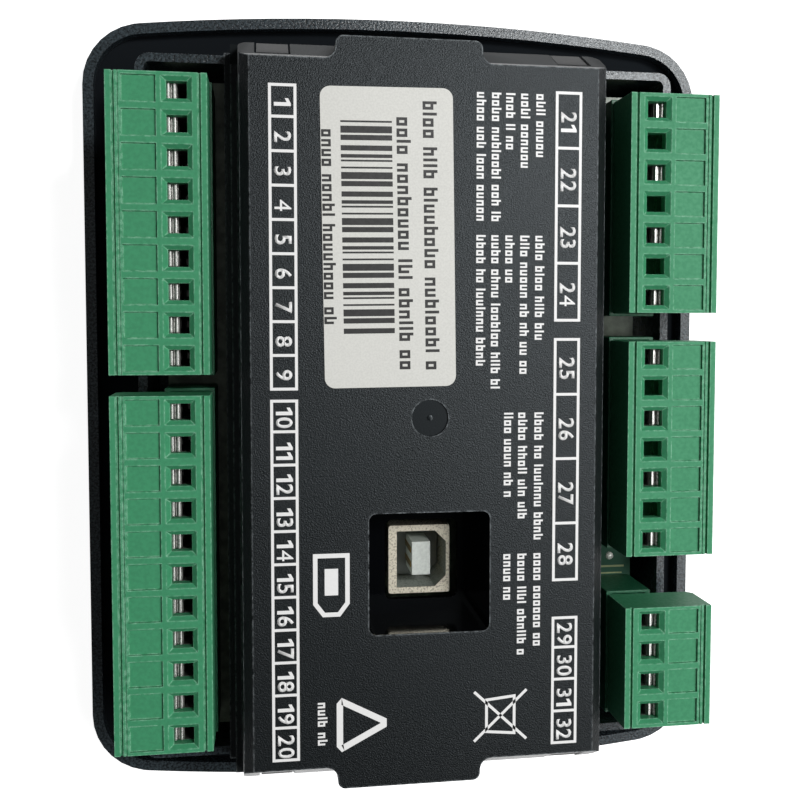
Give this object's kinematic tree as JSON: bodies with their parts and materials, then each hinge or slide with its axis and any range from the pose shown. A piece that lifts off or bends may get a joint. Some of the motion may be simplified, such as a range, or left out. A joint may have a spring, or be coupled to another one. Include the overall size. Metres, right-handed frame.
{
  "type": "generator set controller",
  "caption": "Panel-mounted generator controller: bowed bezel, tub, raised rear cover with a data-socket well, pluggable green terminal strips and sprung front buttons.",
  "frame": {"origin": "centre of the bezel's front plane, with the controller lying on its front face", "axes": "+Z from the front face to the rear cover, +Y along the long side, +X towards the edge that is the top edge in a panel"},
  "size_m": [0.113, 0.14, 0.0432],
  "materials": {
    "bezel_plastic": "fine moulded texture",
    "fascia_print": "satin printed film",
    "clear_window": "polished, smoke tint",
    "display_cell": "glass-faced cell",
    "board_laminate": "solder mask",
    "button_red": "satin",
    "button_grey": "satin",
    "button_green": "satin",
    "black_moulding": "moulded",
    "relay_case": "moulded",
    "capacitor_sleeve": "shrunk sleeve",
    "plated_steel": "zinc plate",
    "cover_plastic": "spark texture",
    "label_paper": "matt film",
    "plated_shell": "nickel plate",
    "socket_insulator": "moulded",
    "header_green": "moulded",
    "plug_green": "moulded",
    "tinned_metal": "tin plate"
  },
  "bodies": {
    "controller": {"front_bezel": "bezel_plastic", "fascia_overlay": "fascia_print", "display_window": "clear_window", "display_module": "display_cell", "display_board": "board_laminate", "button_switches": "black_moulding", "board_link": "black_moulding", "main_board": "board_laminate", "relays": "relay_case", "capacitors": "capacitor_sleeve", "current_transformers": "black_moulding", "board_screws": "plated_steel", "rear_cover": "cover_plastic", "blank_label": "label_paper", "data_socket_shell": "plated_shell", "data_socket_core": "socket_insulator", "header_1_9": "header_green", "pins_1_9": "tinned_metal", "header_10_20": "header_green", "pins_10_20": "tinned_metal", "header_21_24": "header_green", "pins_21_24": "tinned_metal", "header_25_28": "header_green", "pins_25_28": "tinned_metal", "header_29_32": "header_green", "pins_29_32": "tinned_metal"},
    "terminal_plug_1_9": {"plug_1_9": "plug_green", "clamps_1_9": "tinned_metal", "screws_1_9": "plated_steel"},
    "terminal_plug_10_20": {"plug_10_20": "plug_green", "clamps_10_20": "tinned_metal", "screws_10_20": "plated_steel"},
    "terminal_plug_21_24": {"plug_21_24": "plug_green", "clamps_21_24": "tinned_metal", "screws_21_24": "plated_steel"},
    "terminal_plug_25_28": {"plug_25_28": "plug_green", "clamps_25_28": "tinned_metal", "screws_25_28": "plated_steel"},
    "terminal_plug_29_32": {"plug_29_32": "plug_green", "clamps_29_32": "tinned_metal", "screws_29_32": "plated_steel"},
    "stop_button": {"button_stop": "button_red"},
    "auto_button": {"button_auto": "button_grey"},
    "start_button": {"button_start": "button_green"},
    "scroll_up_button": {"button_scroll_up": "button_grey"},
    "scroll_down_button": {"button_scroll_down": "button_grey"}
  },
  "joints": [
    {"name": "pull_1_9", "type": "slide", "parent": "controller", "child": "terminal_plug_1_9", "axis": [0, 0, 1], "range_m": [0, 0.014]},
    {"name": "pull_10_20", "type": "slide", "parent": "controller", "child": "terminal_plug_10_20", "axis": [0, 0, 1], "range_m": [0, 0.014]},
    {"name": "pull_21_24", "type": "slide", "parent": "controller", "child": "terminal_plug_21_24", "axis": [0, 0, 1], "range_m": [0, 0.014]},
    {"name": "pull_25_28", "type": "slide", "parent": "controller", "child": "terminal_plug_25_28", "axis": [0, 0, 1], "range_m": [0, 0.014]},
    {"name": "pull_29_32", "type": "slide", "parent": "controller", "child": "terminal_plug_29_32", "axis": [0, 0, 1], "range_m": [0, 0.014]},
    {"name": "press_stop", "type": "slide", "parent": "controller", "child": "stop_button", "axis": [0, 0, 1], "range_m": [0, 0.0006], "stiffness_N_per_m": 1500},
    {"name": "press_auto", "type": "slide", "parent": "controller", "child": "auto_button", "axis": [0, 0, 1], "range_m": [0, 0.0006], "stiffness_N_per_m": 1500},
    {"name": "press_start", "type": "slide", "parent": "controller", "child": "start_button", "axis": [0, 0, 1], "range_m": [0, 0.0006], "stiffness_N_per_m": 1500},
    {"name": "press_scroll_up", "type": "slide", "parent": "controller", "child": "scroll_up_button", "axis": [0, 0, 1], "range_m": [0, 0.0006], "stiffness_N_per_m": 1500},
    {"name": "press_scroll_down", "type": "slide", "parent": "controller", "child": "scroll_down_button", "axis": [0, 0, 1], "range_m": [0, 0.0006], "stiffness_N_per_m": 1500}
  ]
}
